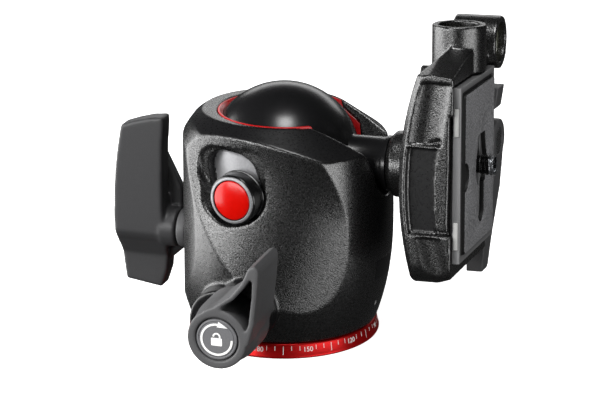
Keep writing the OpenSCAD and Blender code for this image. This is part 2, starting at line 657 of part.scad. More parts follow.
module qr_lever() color(grey) on_ball() difference() {
    intersection() {
        translate([0, qr_y, qr_z]) along_x() rotate(90) translate([0, 0, qr_bot]) qr_blank();
        rotate([90, 0, 0]) translate([0, 0, -40]) linear_extrude(30)
            polygon([[qr_bot, 12], [qr_top - 1, 12], [qr_top, 9], [qr_top, 2], [qr_top - 0.8, -12],
                [qr_top - 3, -28], [qr_top - 4.4, -qr_len + 2], [qr_bot, -qr_len + 2]]);
    }
    translate([0, qr_y, qr_z]) along_x() translate([0, 0, qr_bot - 1]) cylinder(r = 2 + fit, h = 30);
    translate([0, qr_y, qr_z]) along_x() translate([0, 0, qr_top - 1.6]) cylinder(r = 4.2, h = 10);
    translate([0, qr_y, qr_z]) along_x() translate([0, 0, qr_bot - 1]) cylinder(r = 4.4, h = 3.2);
}

module qr_pivot() color(steel) on_ball() translate([0, qr_y, qr_z]) along_x() {
    translate([0, 0, back_x + 6]) cylinder(r = 2 - fit, h = qr_top - 1.6 - back_x - 6 + 0.1);
    rod(3.9, qr_top - 1.5, qr_top - 0.3, 0.3);
}

module qr_spring() color(steel) on_ball() translate([0, qr_y, qr_z]) along_x()
    tube(2.5, 4, floor_x - 0.9, qr_bot + 1.9);

module safety_catch() color([0.7, 0.55, 0.3]) on_ball() {
    rotate([90, 0, 0]) translate([0, 0, -qr_y - 3]) linear_extrude(8) polygon([[floor_x - 0.8, 12.4],
        [qr_top - 2.4, 12.4], [qr_top - 0.4, 14], [qr_top + 0.6, 20.6], [qr_top - 2.4, 20.6],
        [floor_x - 0.8, 19.4]]);
}

// ---------- camera plate ----------

slot_y = 3.4;
slot_w = 6.8;
slot_z0 = -13.4;
slot_z1 = 6.8;
screw_z = 0.6;

module plate_slot(w, x0, h) along_x() translate([0, 0, x0]) linear_extrude(h) {
    for (z = [slot_z0, slot_z1]) translate([-z, slot_y]) circle(w / 2);
    translate([-slot_z1, slot_y - w / 2]) square([slot_z1 - slot_z0, w]);
}

recess_w = 38.6;
recess_l = 49.6;
pad_x = face_x - 1;    // floor of the recess
pad_top = face_x + 0.5;

// egg-shaped opening in the pad round the camera screw
module pad_opening() translate([0, slot_y, screw_z]) along_x() translate([0, 0, pad_x - 1]) {
    cylinder(r = 7, h = 5);
    linear_extrude(5) polygon([[0, -6.9], [-9.8, -4], [-9.8, 4], [0, 6.9]]);
}

module camera_plate() color(pale) on_ball() translate([0, 0.2, 0]) difference() {
    along_plate(plate_mid - plate_l / 2, plate_mid + plate_l / 2) polygon(plate_section(0));
    translate([0, 0, plate_mid]) along_x() translate([0, 0, pad_x]) linear_extrude(3)
        rotate(90) round_rect(recess_w, recess_l, 1.5);
    plate_slot(slot_w, floor_x - 1, 20);
    translate([0, slot_y, screw_z]) along_x() translate([0, 0, floor_x - 1]) cylinder(r = 8.5, h = 4);
    // recesses for the end pads in the near side
    for (z = [plate_mid + 16.2, plate_mid - 18]) translate([0, -plate_w / 2, z])
        block([jaw_x + 1, -0.5, -4.2], [1.5, 1, 8.4]);
}

// thin base that fills the recess, with the thicker mat on it, notched at its near edge
module plate_pad() color(satin) on_ball() translate([0, 0.2, 0]) difference() {
    union() {
        translate([0, 0, plate_mid]) along_x() translate([0, 0, pad_x]) linear_extrude(0.5)
            rotate(90) round_rect(recess_w - 0.3, recess_l - 0.3, 1.4);
        difference() {
            translate([0, 1.4, plate_mid - 0.4]) along_x() translate([0, 0, pad_x + 0.3])
                linear_extrude(pad_top - pad_x - 0.3) rotate(90) round_rect(35.2, 48, 1.2);
            translate([0, -15.9, 0.4]) along_x() translate([0, 0, pad_x + 0.5]) cylinder(r = 4.4, h = 6);
        }
    }
    plate_slot(slot_w + 0.6, pad_x - 1, 4);
    pad_opening();
}

module end_pads() color(pale) on_ball() translate([0, 0.2, 0])
    for (z = [plate_mid + 16.2, plate_mid - 18]) translate([0, -plate_w / 2, z])
        block([jaw_x + 1, -0.35, -4.2], [1.5, 0.85, 8.4]);

// 1/4 inch thread on a narrower neck, so the screw is captive in the slot
module camera_screw() color(steel) on_ball() translate([0, 0.2 + slot_y, screw_z]) along_x() {
    rotate_extrude() polygon([[0, floor_x + 2.4], [2.7, floor_x + 2.4], [2.7, face_x + 0.2],
        [3.175, face_x + 0.7], [3.175, face_x + 4.4], [2.6, face_x + 5], [0, face_x + 5]]);
    rod(8.1, floor_x + 1.4, floor_x + 2.8, 0.3);
}

module screw_ring() color(steel) on_ball() translate([0, 0.2 + slot_y, screw_z]) along_x()
    tube(6, 7.6, floor_x + 0.55, floor_x + 1.35);

base_plate();
thread_insert();
scale_ring();
pan_washer();
keeper_disc();
keeper_screws();
housing();
ball_collar();
ball_seat();
pressure_cup();
disc_springs();
lock_pusher();
lock_bush();
lock_knob();
lock_screw();
knob_plug();
friction_knob();
friction_cap();
friction_pin();
pan_lever();
lever_disc();
lever_screw();
pan_brake();
ball();
adaptor();
adaptor_screw();
round_level();
tube_level();
qr_lever();
qr_pivot();
qr_spring();
safety_catch();
camera_plate();
plate_pad();
end_pads();
camera_screw();
screw_ring();
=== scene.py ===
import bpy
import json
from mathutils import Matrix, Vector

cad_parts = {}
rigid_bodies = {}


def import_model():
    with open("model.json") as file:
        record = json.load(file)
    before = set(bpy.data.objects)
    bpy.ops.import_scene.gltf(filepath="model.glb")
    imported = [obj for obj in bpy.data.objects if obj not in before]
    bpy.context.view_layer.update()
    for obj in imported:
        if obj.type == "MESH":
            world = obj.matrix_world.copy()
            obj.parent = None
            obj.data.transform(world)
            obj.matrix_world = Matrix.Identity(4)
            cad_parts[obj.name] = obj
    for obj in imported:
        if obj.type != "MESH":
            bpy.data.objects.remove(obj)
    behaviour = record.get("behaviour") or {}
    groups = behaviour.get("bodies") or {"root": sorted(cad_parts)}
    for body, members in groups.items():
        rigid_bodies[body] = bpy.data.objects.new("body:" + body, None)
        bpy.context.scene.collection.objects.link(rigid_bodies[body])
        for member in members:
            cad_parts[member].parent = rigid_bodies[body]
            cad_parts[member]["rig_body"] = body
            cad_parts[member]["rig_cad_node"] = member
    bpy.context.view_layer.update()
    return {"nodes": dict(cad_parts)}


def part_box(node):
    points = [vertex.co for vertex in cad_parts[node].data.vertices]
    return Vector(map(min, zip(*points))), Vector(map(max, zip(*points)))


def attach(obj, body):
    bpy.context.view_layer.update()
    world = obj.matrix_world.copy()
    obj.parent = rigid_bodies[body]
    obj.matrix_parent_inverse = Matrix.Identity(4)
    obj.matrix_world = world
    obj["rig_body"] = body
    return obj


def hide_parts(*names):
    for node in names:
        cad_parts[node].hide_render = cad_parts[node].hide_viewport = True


bl_info = {
    "name": "Tripod ball head",
    "version": (1, 0, 0),
    "blender": (4, 5, 0),
    "location": "3D View > Sidebar > Ball head",
    "description": "Builds the looks of a tripod ball head round its packed CAD parts",
    "category": "Object",
}

import json
import math

import bmesh
import bpy
from bpy.props import FloatProperty, FloatVectorProperty, PointerProperty
from bpy.types import Operator, Panel, PropertyGroup
from mathutils import Matrix, Vector

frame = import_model()

MM = 0.001
# corners nearer than this are one
SAME_POINT = 1e-6
# a piece with more triangles than this is thinned
MOST_TRIANGLES = 190000

# what the pieces take from the CAD parts, in millimetres and degrees
RING_FOOT = (29.76, 1.16)
RING_TOP = (29.16, 4.15)
HOUSING_TOP = 71
POCKET_WALL = 25.1
BALL_HEIGHT = 55.6
BALL_RADIUS = 23.6
STEM_RADIUS = 8.1
STEM_DROOP = -2
ADAPTOR_ROLL = -5
FRICTION_HEIGHT = 50.5
FRICTION_TURN = -11
LEVER_AT = (-1.4, 16.7)
LEVER_FACE = 59.28
CAMERA_SCREW_AT = (0, 3.6, 0.6)


def hex_colour(code):
    """A hex sRGB colour as linear red, green and blue."""
    parts = [int(code[i:i + 2], 16) / 255 for i in (1, 3, 5)]
    return tuple(c / 12.92 if c <= 0.04045 else ((c + 0.055) / 1.055) ** 2.4 for c in parts)


# ---------- sizes and colours that a user would change ----------


def length(name, description, default):
    return FloatProperty(name=name, description=description, default=default * MM, unit="LENGTH",
                         precision=5)


def colour(name, description, default):
    return FloatVectorProperty(name=name, description=description, default=hex_colour(default),
                               subtype="COLOR", size=3, min=0, max=1)


class HeadSizes(PropertyGroup):
    casting_grid: length("Casting grid", "Size of the faces that round the castings' edges", 0.46)
    moulding_grid: length("Moulding grid", "Size of the faces of the moulded knob and lever", 0.36)
    tick_width: length("Tick width", "Width of a white tick on the ring", 0.19)
    tick_short: length("Short tick", "Length of a 5 degree tick", 1.4)
    tick_long: length("Long tick", "Length of a 15 degree tick", 2.6)
    digit_height: length("Digit height", "Height of the numbers on the ring", 1.5)
    ink_height: length("Ink height", "How far the white print stands above the surface", 0.03)
    scale_turn: FloatProperty(name="Scale turn", description="Turn of the ring's zero mark",
                              default=math.radians(2.6), subtype="ANGLE")
    arrow_radius: length("Arrow radius", "Radius of the round arrow on the lever's disc", 4.7)
    arrow_width: length("Arrow width", "Width of the round arrow's line", 0.62)
    thread_pitch: length("Thread pitch", "Pitch of the camera screw, 20 turns to the inch", 1.27)
    thread_depth: length("Thread depth", "Depth of the camera screw's thread", 0.55)


class HeadColours(PropertyGroup):
    casting: colour("Casting", "Textured paint of the housing and adaptor", "#575757")
    ball: colour("Ball", "Hard coat of the ball and stem", "#0e0e0f")
    ring: colour("Ring", "Anodised scale ring", "#b80406")
    moulding: colour("Moulding", "Moulded knob and levers", "#4a4a4b")
    gloss_red: colour("Gloss red", "Moulded cap", "#ac0500")
    plate: colour("Plate", "Cast camera plate", "#6a6a6b")
    pad: colour("Pad", "Rubber pad of the camera plate", "#7e7e80")
    ink: colour("Ink", "White print", "#e8e8e6")
    vial: colour("Vial", "Liquid of the levels", "#a0a28c")


# ---------- small helpers ----------


def deselect():
    if bpy.context.object and bpy.context.object.mode != "OBJECT":
        bpy.ops.object.mode_set(mode="OBJECT")
    bpy.ops.object.select_all(action="DESELECT")


def only(obj):
    deselect()
    obj.select_set(True)
    bpy.context.view_layer.objects.active = obj


def edit(obj, mode="VERT"):
    """Opens obj for editing with everything selected."""
    only(obj)
    bpy.ops.object.mode_set(mode="EDIT")
    bpy.ops.mesh.select_mode(type=mode)
    bpy.ops.mesh.select_all(action="SELECT")


def done():
    bpy.ops.object.mode_set(mode="OBJECT")


def pick_edges(obj, test):
    """Selects only the edges of the mesh being edited that pass the test."""
    bpy.ops.mesh.select_all(action="DESELECT")
    mesh = bmesh.from_edit_mesh(obj.data)
    for edge in mesh.edges:
        edge.select_set(test(edge))
    mesh.select_flush_mode()
    bmesh.update_edit_mesh(obj.data)


def outward():
    """Turns all faces of the mesh being edited outwards."""
    bpy.ops.mesh.select_all(action="SELECT")
    bpy.ops.mesh.normals_make_consistent(inside=False)


def weld():
    """Merges the corners of the mesh being edited that lie in one place."""
    bpy.ops.mesh.select_all(action="SELECT")
    bpy.ops.mesh.remove_doubles(threshold=SAME_POINT)


def shape(obj, kind, **settings):
    """Adds a modifier, sets it and applies it."""
    only(obj)
    bpy.ops.object.modifier_add(type=kind)
    modifier = obj.modifiers[-1]
    for name, value in settings.items():
        setattr(modifier, name, value)
    bpy.ops.object.modifier_apply(modifier=modifier.name)


def smooth(obj, angle):
    """Shades a piece smooth, but for edges sharper than the angle in degrees."""
    only(obj)
    bpy.ops.object.shade_smooth_by_angle(angle=math.radians(angle))
    return obj


def place(obj, matrix):
    """Puts the finished shape in its place and keeps that place in its mesh."""
    only(obj)
    obj.matrix_world = matrix @ obj.matrix_world
    bpy.ops.object.transform_apply(location=True, rotation=True, scale=True)
    return obj


def join(objects, name):
    deselect()
    for obj in objects:
        obj.select_set(True)
    bpy.context.view_layer.objects.active = objects[0]
    bpy.ops.object.join()
    objects[0].name = objects[0].data.name = name
    return objects[0]


def twin(obj, name):
    """A copy of a piece with its own mesh."""
    copy = obj.copy()
    copy.data = obj.data.copy()
    copy.name = copy.data.name = name
    bpy.context.scene.collection.objects.link(copy)
    return copy


def wear(obj, body, slot, material, *nodes):
    """Gives a finished piece its material and its body, and hides the CAD nodes it stands for; the slot is
    not used.
    """
    obj.data.materials.clear()
    obj.data.materials.append(material)
    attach(obj, body)
    if nodes:
        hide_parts(*nodes)


def dress(**finishes):
    """CAD nodes that keep their shape get their finish."""
    for node, finish in finishes.items():
        mesh = frame["nodes"][node].data
        mesh.materials.clear()
        mesh.materials.append(made(finish))


def finish_where(obj, finish, test):
    """Gives one more finish to the faces of a piece that pass the test."""
    obj.data.materials.append(made(finish))
    last = len(obj.data.materials) - 1
    for face in obj.data.polygons:
        if test(face):
            face.material_index = last


def within(point, low, high):
    """Whether a point is inside a box."""
    return all(a < p < b for a, p, b in zip(low, point, high))


def flat_patch(wide, tall, where):
    """A flat rectangle, its size and place kept in its mesh."""
    bpy.ops.mesh.primitive_plane_add(size=1, location=where)
    obj = bpy.context.object
    obj.scale = (wide, tall, 1)
    bpy.ops.object.transform_apply(location=True, rotation=True, scale=True)
    return obj


def first_point(name, radius, height):
    """A new mesh of one point, open for editing, to extrude an outline from."""
    bpy.ops.mesh.primitive_plane_add(size=MM)
    obj = bpy.context.object
    obj.name = obj.data.name = name
    edit(obj)
    bpy.ops.mesh.merge(type="CENTER")
    bpy.ops.transform.translate(value=(radius, 0, height))
    return obj


def merged(node, name):
    """A copy of a CAD node, free of its frame, with its loose triangles merged."""
    source = frame["nodes"][node]
    obj = twin(source, name)
    obj.parent = None
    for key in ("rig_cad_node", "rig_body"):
        if key in obj:
            del obj[key]
    obj.matrix_world = Matrix.Identity(4)
    obj.hide_render = obj.hide_viewport = False
    edit(obj)
    bpy.ops.mesh.remove_doubles(threshold=2 * SAME_POINT)
    done()
    return obj


def cast(node, name, grid, passes, cutters=()):
    """A casting or moulding: the CAD shape, cut where it needs it, on a fine even grid, with its edges worn
    round by passes of smoothing."""
    obj = merged(node, name)
    for cutter in cutters:
        shape(obj, "BOOLEAN", operation="DIFFERENCE", object=cutter, solver="EXACT")
        bpy.data.objects.remove(cutter)
    shape(obj, "REMESH", mode="VOXEL", voxel_size=grid, use_smooth_shade=True)
    shape(obj, "SMOOTH", factor=0.5, iterations=passes)
    triangles = 2 * len(obj.data.polygons)
    if triangles > MOST_TRIANGLES:
        shape(obj, "DECIMATE", ratio=MOST_TRIANGLES / triangles)
    only(obj)
    bpy.ops.object.shade_smooth()
    return obj


def broken_edges(node, name, width, segments=2):
    """A machined or moulded part whose sharp edges are broken by a small round."""
    obj = merged(node, name)
    flat, sharp = 1, 32
    shape(obj, "DECIMATE", decimate_type="DISSOLVE", angle_limit=math.radians(flat))
    shape(obj, "BEVEL", width=width, segments=segments, limit_method="ANGLE",
          angle_limit=math.radians(sharp), use_clamp_overlap=True, harden_normals=False)
    return smooth(obj, sharp)


def lathe(name, outline, where=Matrix.Identity(4), *, sharp, steps=96):
    """A turned piece in its place: an outline of (radius, height) points in millimetres, extruded point by
    point and spun about Z, and shaded smooth but for its sharp edges."""
    outline = [(r * MM, z * MM) for r, z in outline]
    obj = first_point(name, *outline[0])
    for (r0, z0), (r1, z1) in zip(outline, outline[1:]):
        bpy.ops.mesh.extrude_vertices_move(TRANSFORM_OT_translate={"value": (r1 - r0, 0, z1 - z0)})
    bpy.ops.mesh.select_all(action="SELECT")
    bpy.ops.mesh.spin(steps=steps, angle=2 * math.pi, center=(0, 0, 0), axis=(0, 0, 1))
    weld()
    outward()
    done()
    return place(smooth(obj, sharp), where)


def arc(centre, radius, start, end, count):
    """Points on an arc of an outline, angles in degrees from the outward radius."""
    turns = [math.radians(start + (end - start) * i / count) for i in range(count + 1)]
    return [(centre[0] + radius * math.cos(t), centre[1] + radius * math.sin(t)) for t in turns]


def turn(degrees, axis):
    return Matrix.Rotation(math.radians(degrees), 4, axis)


# the adaptor's own frame: the ball's centre, with X along the stem as it lies in the slot
BALL = Vector((0, 0, BALL_HEIGHT)) * MM
LYING = Matrix.Translation(BALL) @ turn(STEM_DROOP, "Y") @ turn(ADAPTOR_ROLL, "X")
TO_ADAPTOR = LYING.inverted()
# these turn a piece drawn along Z to lie along X, or to face the front
ALONG_X = turn(90, "Y")
TO_FRONT = turn(90, "X")
# the friction knob's and the pan lever's own frames: X to the right, Y up, Z outwards along the axis
FRICTION_PLACE = Matrix.Translation((0, 0, FRICTION_HEIGHT * MM)) @ turn(FRICTION_TURN, "Z") @ TO_FRONT
TO_FRICTION = FRICTION_PLACE.inverted()
FRICTION_DIRECTION = FRICTION_PLACE.to_3x3() @ Vector((0, 0, 1))
LEVER_PLACE = Matrix.Translation((LEVER_AT[0] * MM, 0, LEVER_AT[1] * MM)) @ TO_FRONT


# ---------- materials ----------


def add(tree, kind, inputs=None, **settings):
    """Adds a node, sets its settings, and fills or links its inputs."""
    node = tree.nodes.new(kind)
    for name, value in settings.items():
        setattr(node, name, value)
    for name, value in (inputs or {}).items():
        if isinstance(value, bpy.types.NodeSocket):
            tree.links.new(value, node.inputs[name])
        else:
            node.inputs[name].default_value = value
    return node


def surface(name, base, roughness, metallic=0.0, **constants):
    """A new material with one shader, and its node tree and shader."""
    material = bpy.data.materials.new(name)
    material.use_nodes = True
    tree = material.node_tree
    shader = tree.nodes["Principled BSDF"]
    shader.inputs["Base Color"].default_value = (*base, 1)
    shader.inputs["Roughness"].default_value = roughness
    shader.inputs["Metallic"].default_value = metallic
    for socket, value in constants.items():
        shader.inputs[socket.replace("_", " ")].default_value = value
    return material, tree, shader


def grain(tree, shader, base, size, depth, spread, rough, stretch=(1, 1, 1), detail=2.0,
          tones=(0.35, 0.68)):
    """Grain of one size in millimetres: relief, a spread of tone round the base colour, and a spread of
    roughness. The wrinkles of the paint, the marks of blasting, spark erosion and turning, and the pebbles
    of the rubber are finer than this on the real thing, and are drawn as coarse as they need to show."""
    where = add(tree, "ShaderNodeTexCoord")
    mapped = add(tree, "ShaderNodeMapping", {"Vector": where.outputs["Object"], "Scale": stretch})
    noise = add(tree, "ShaderNodeTexNoise", {"Vector": mapped.outputs[0], "Scale": 1 / (size * MM),
                                             "Detail": detail, "Roughness": 0.6})
    ramp = add(tree, "ShaderNodeValToRGB", {"Fac": noise.outputs[0]})
    for stop, tone, factor in zip(ramp.color_ramp.elements, tones, (1 - spread, 1 + spread)):
        stop.position = tone
        stop.color = (*[min(1, c * factor) for c in base], 1)
    tree.links.new(ramp.outputs[0], shader.inputs["Base Color"])
    gloss = add(tree, "ShaderNodeMapRange", {"Value": noise.outputs[0], "From Min": 0.3, "From Max": 0.7,
                                             "To Min": rough[0], "To Max": rough[1]})
    tree.links.new(gloss.outputs[0], shader.inputs["Roughness"])
    bump = add(tree, "ShaderNodeBump", {"Height": noise.outputs[0], "Strength": 1.0,
                                        "Distance": depth * MM})
    tree.links.new(bump.outputs[0], shader.inputs["Normal"])
    return ramp


def bright_edges(tree, shader, ramp, tone, low, high):
    """Painted highlights on edges: the colour goes over to the pale tone where the surface is sharply
    convex.
    """
    bend = add(tree, "ShaderNodeNewGeometry")
    edge = add(tree, "ShaderNodeMapRange", {"Value": bend.outputs["Pointiness"], "From Min": low,
                                            "From Max": high})
    mix = add(tree, "ShaderNodeMix", {"Factor": edge.outputs[0]}, data_type="RGBA")
    # a Mix node's sockets for colours
    first, second, result = mix.inputs[6], mix.inputs[7], mix.outputs[2]
    tree.links.new(ramp.outputs[0], first)
    second.default_value = (*tone, 1)
    tree.links.new(result, shader.inputs["Base Color"])


def textured_paint(colours):
    # magnesium casting with wrinkle-textured powder paint that holds metal flake: black in shade, and a
    # glittering grey where a light glances off it
    material, tree, shader = surface("magnesium_textured_flake_paint", colours.casting, 0.3, metallic=0.95)
    grain(tree, shader, colours.casting, size=0.34, depth=0.065, spread=0.5, rough=(0.22, 0.34), detail=1.5)
    return material


def bare_casting(colours):
    # painted light: the friction pocket's back wall is coloured light grey, soft and even, to stand in for
    # the light it catches
    base = hex_colour("#8e8e90")
    material, tree, shader = surface("magnesium_painted_light_wall", base, 0.42, metallic=0.4)
    grain(tree, shader, base, size=0.8, depth=0.003, spread=0.08, rough=(0.38, 0.46))
    return material


def smooth_paint(colours):
    # black satin paint without grain: thin paint on the top bevel, painted shade in the friction pocket and
    # on the lever's seat, and the adaptor's deep middle panel
    base = hex_colour("#0e0e0f")
    material, tree, shader = surface("magnesium_satin_paint_and_painted_shade", base, 0.3, IOR=1.5)
    grain(tree, shader, base, size=0.6, depth=0.004, spread=0.15, rough=(0.26, 0.34))
    return material


def hard_coat(colours):
    # turned aluminium ball with a hard anodised coat: deep black with a soft, tight highlight
    material, tree, shader = surface("aluminium_ball_hard_anodised", colours.ball, 0.26, IOR=1.5)
    grain(tree, shader, colours.ball, size=1.5, depth=0.0006, spread=0.06, rough=(0.25, 0.27))
    return material


def red_anodised(colours):
    # turned aluminium ring, anodised red: metal under a clear dye, with faint turning lines
    material, tree, shader = surface("aluminium_turned_anodised_red", colours.ring, 0.28, metallic=0.7)
    grain(tree, shader, colours.ring, size=0.4, depth=0.004, spread=0.10, rough=(0.30, 0.40),
          stretch=(0.2, 0.2, 3))
    return material


def moulded(colours):
    # glass-filled nylon, injection moulded and spark-eroded: matt dark grey with a fine even grain
    material, tree, shader = surface("nylon_moulded_fine_grain", colours.moulding, 0.5, IOR=1.46)
    ramp = grain(tree, shader, colours.moulding, size=0.22, depth=0.018, spread=0.14, rough=(0.45, 0.56))
    # painted highlights: sharply convex edges are coloured a lighter grey
    bright_edges(tree, shader, ramp, hex_colour("#6c6c6e"), low=0.55, high=0.68)
    return material


def dark_moulded(colours):
    # the same nylon with more black in it: the ball-lock knob, dark grey with a dull sheen
    base = hex_colour("#323233")
    material, tree, shader = surface("nylon_moulded_black_grain", base, 0.44, IOR=1.46)
    ramp = grain(tree, shader, base, size=0.22, depth=0.014, spread=0.14, rough=(0.38, 0.5))
    # painted highlights: sharply convex edges are coloured a lighter grey
    bright_edges(tree, shader, ramp, hex_colour("#3a3a3c"), low=0.54, high=0.66)
    return material


def polished(colours):
    # nylon moulded in a polished tool: black with clean reflections
    base = hex_colour("#0d0d0e")
    material, tree, shader = surface("nylon_moulded_polished_black", base, 0.18, IOR=1.5)
    grain(tree, shader, base, size=0.5, depth=0.002, spread=0.1, rough=(0.15, 0.22))
    return material


def gloss_red(colours):
    # polished moulded ABS: clean red with a small soft highlight
    material, tree, shader = surface("abs_moulded_polished_red", colours.gloss_red, 0.22, IOR=1.36,
                                     Coat_Weight=0.05, Coat_Roughness=0.1)
    grain(tree, shader, colours.gloss_red, size=1.5, depth=0.002, spread=0.05, rough=(0.2, 0.24))
    return material


def cast_plate(colours):
    # die-cast camera plate, tumbled and coated grey: satin metal with a fine even tooth
    material, tree, shader = surface("aluminium_die_cast_tumbled", colours.plate, 0.46, metallic=0.25)
    ramp = grain(tree, shader, colours.plate, size=0.3, depth=0.01, spread=0.08, rough=(0.4, 0.52))
    # painted highlights: sharply convex edges are coloured pale grey
    bright_edges(tree, shader, ramp, hex_colour("#b4b4b4"), low=0.52, high=0.6)
    return material


def pad_rubber(colours):
    # moulded nitrile rubber: mid grey, dull, with a pebbled grain
    material, tree, shader = surface("rubber_moulded_pebbled", colours.pad, 0.72, IOR=1.52)
    grain(tree, shader, colours.pad, size=0.5, depth=0.12, spread=0.45, rough=(0.4, 0.7), detail=1.0,
          tones=(0.45, 0.6))
    return material


def black_rubber(colours):
    # painted shade: the pad's sides and underside, smooth moulded rubber coloured black and dull
    base = hex_colour("#0c0c0c")
    material, tree, shader = surface("rubber_black_painted_shade", base, 0.6, IOR=1.52)
    grain(tree, shader, base, size=0.5, depth=0.01, spread=0.1, rough=(0.55, 0.7))
    return material


def pale_pads(colours):
    # moulded thermoplastic elastomer: pale grey and dull
    base = hex_colour("#a2a2a0")
    material, tree, shader = surface("elastomer_moulded_pale", base, 0.6)
    grain(tree, shader, base, size=0.3, depth=0.008, spread=0.05, rough=(0.55, 0.65))
    return material


def print_ink(colours):
    # pad-printed white ink: flat, opaque, slightly rough
    material, tree, shader = surface("ink_pad_printed_white", colours.ink, 0.5)
    grain(tree, shader, colours.ink, size=0.2, depth=0.002, spread=0.04, rough=(0.45, 0.6))
    return material


def machined_steel(colours):
    # turned steel: grey metal with fine tool lines
    base = hex_colour("#b9bbbe")
    material, tree, shader = surface("steel_turned", base, 0.3, metallic=1.0)
    grain(tree, shader, base, size=0.35, depth=0.004, spread=0.08, rough=(0.22, 0.36),
          stretch=(0.3, 0.3, 3))
    return material


def black_steel(colours):
    # steel, chemically blackened and oiled: dark metal with a slick sheen, and painted highlights on its
    # sharp edges
    base = hex_colour("#2b2b2c")
    material, tree, shader = surface("steel_blackened", base, 0.26, metallic=0.9)
    ramp = grain(tree, shader, base, size=0.3, depth=0.004, spread=0.2, rough=(0.2, 0.34))
    # painted highlights: sharply convex edges are coloured bright grey
    bright_edges(tree, shader, ramp, hex_colour("#c8c8c8"), low=0.54, high=0.62)
    return material


def turned_brass(colours):
    # turned brass: warm yellow metal with fine tool lines
    base = hex_colour("#c9a55a")
    material, tree, shader = surface("brass_turned", base, 0.3, metallic=1.0)
    grain(tree, shader, base, size=0.35, depth=0.004, spread=0.08, rough=(0.24, 0.36),
          stretch=(0.3, 0.3, 3))
    return material


def seat_polymer(colours):
    # machined acetal: milky white, waxy
    base = hex_colour("#dcdad2")
    material, tree, shader = surface("acetal_machined", base, 0.38)
    grain(tree, shader, base, size=0.5, depth=0.004, spread=0.04, rough=(0.34, 0.44))
    return material


def vial_liquid(colours):
    # level vial of clear acrylic with tinted spirit: pale grey-green, glossy
    material, tree, shader = surface("acrylic_vial_tinted_spirit", colours.vial, 0.08, IOR=1.49,
                                     Coat_Weight=0.6, Coat_Roughness=0.03)
    grain(tree, shader, colours.vial, size=3.0, depth=0.001, spread=0.08, rough=(0.05, 0.1))
    return material


def bubble_glass(colours):
    # air under clear acrylic: a pale, glossy spot
    base = hex_colour("#d6d9cc")
    material, tree, shader = surface("acrylic_over_air_bubble", base, 0.08, IOR=1.49, Coat_Weight=0.5)
    grain(tree, shader, base, size=3.0, depth=0.001, spread=0.04, rough=(0.05, 0.1))
    return material


def bare_rim(colours):
    # aluminium rim, turned and bead-blasted: pale grey metal, bright all round
    base = hex_colour("#88888a")
    material, tree, shader = surface("aluminium_bead_blasted", base, 0.45, metallic=0.6)
    grain(tree, shader, base, size=0.3, depth=0.05, spread=0.3, rough=(0.38, 0.5))
    return material


def disc_face(colours):
    # nylon disc with a satin face: dark grey, even, slightly glossier than the lever
    base = hex_colour("#646466")
    material, tree, shader = surface("nylon_moulded_satin_disc", base, 0.36, IOR=1.46)
    grain(tree, shader, base, size=0.4, depth=0.004, spread=0.08, rough=(0.32, 0.42))
    return material


def satin_red(colours):
    # moulded acetal collar: deep red, with a soft sheen
    base = hex_colour("#a8080c")
    material, tree, shader = surface("acetal_moulded_red", base, 0.3, IOR=1.48)
    grain(tree, shader, base, size=0.6, depth=0.003, spread=0.08, rough=(0.26, 0.36))
    return material


def label_film(colours):
    # black polyester label film, laminated: smooth and a little glossier than the paint
    base = hex_colour("#0c0c0d")
    material, tree, shader = surface("polyester_label_laminated", base, 0.3)
    grain(tree, shader, base, size=1.0, depth=0.002, spread=0.1, rough=(0.26, 0.34))
    return material


def made(key):
    """The material for a finish, made once."""
    if key not in MADE:
        MADE[key] = FINISHES[key](bpy.context.scene.head_colours)
    return MADE[key]


MADE = {}
FINISHES = {
    "paint": textured_paint, "ball": hard_coat, "ring": red_anodised, "moulding": moulded, "red": gloss_red,
    "plate": cast_plate, "pad": pad_rubber, "pale": pale_pads, "ink": print_ink, "steel": machined_steel,
    "black_steel": black_steel, "brass": turned_brass, "polymer": seat_polymer, "vial": vial_liquid,
    "label": label_film, "satin": smooth_paint, "bare": bare_casting, "rim": bare_rim, "gloss": polished,
    "dark_moulding": dark_moulded, "disc": disc_face, "collar": satin_red, "black_rubber": black_rubber,
    "bubble": bubble_glass,
}


# ---------- pieces ----------


